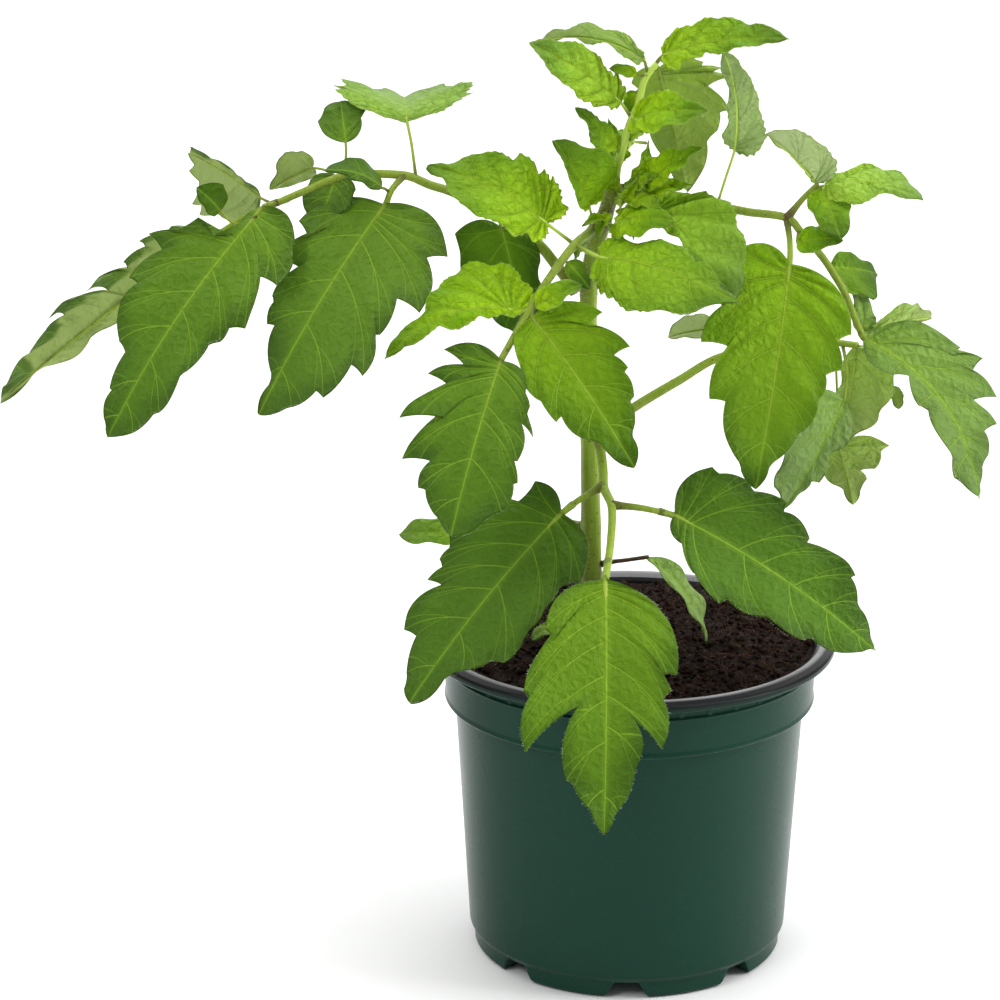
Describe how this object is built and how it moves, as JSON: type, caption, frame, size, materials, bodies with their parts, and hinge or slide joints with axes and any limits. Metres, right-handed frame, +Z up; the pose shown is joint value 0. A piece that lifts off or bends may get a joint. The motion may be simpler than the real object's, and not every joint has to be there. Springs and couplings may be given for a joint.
{
  "type": "tomato plant in a pot",
  "caption": "Young leafy tomato plant with an upright stem and compound leaves, growing in peat in a round plastic nursery pot.",
  "frame": {"origin": "centre of the pot's underside, on the surface it stands on", "axes": "+Z up along the pot's axis, +X to the right of the plant seen from the front, -Y towards the front"},
  "size_m": [0.3341, 0.162, 0.325],
  "materials": {
    "pot": "satin",
    "soil": "matte",
    "stem": "satin",
    "leaf": "satin",
    "young_leaf": "satin",
    "withered_leaf": "matte"
  },
  "bodies": {
    "root": {"pot": "pot", "soil": "soil", "stem": "stem", "leaf_1": "leaf", "leaf_2": "leaf", "leaf_3": "leaf", "leaf_4": "leaf", "leaf_5": "leaf", "leaf_6": "leaf", "leaf_7": "young_leaf", "leaf_8": "young_leaf", "tip_bud": "young_leaf", "seed_leaf_dry": "withered_leaf", "seed_leaf_green": "young_leaf"}
  },
  "joints": []
}
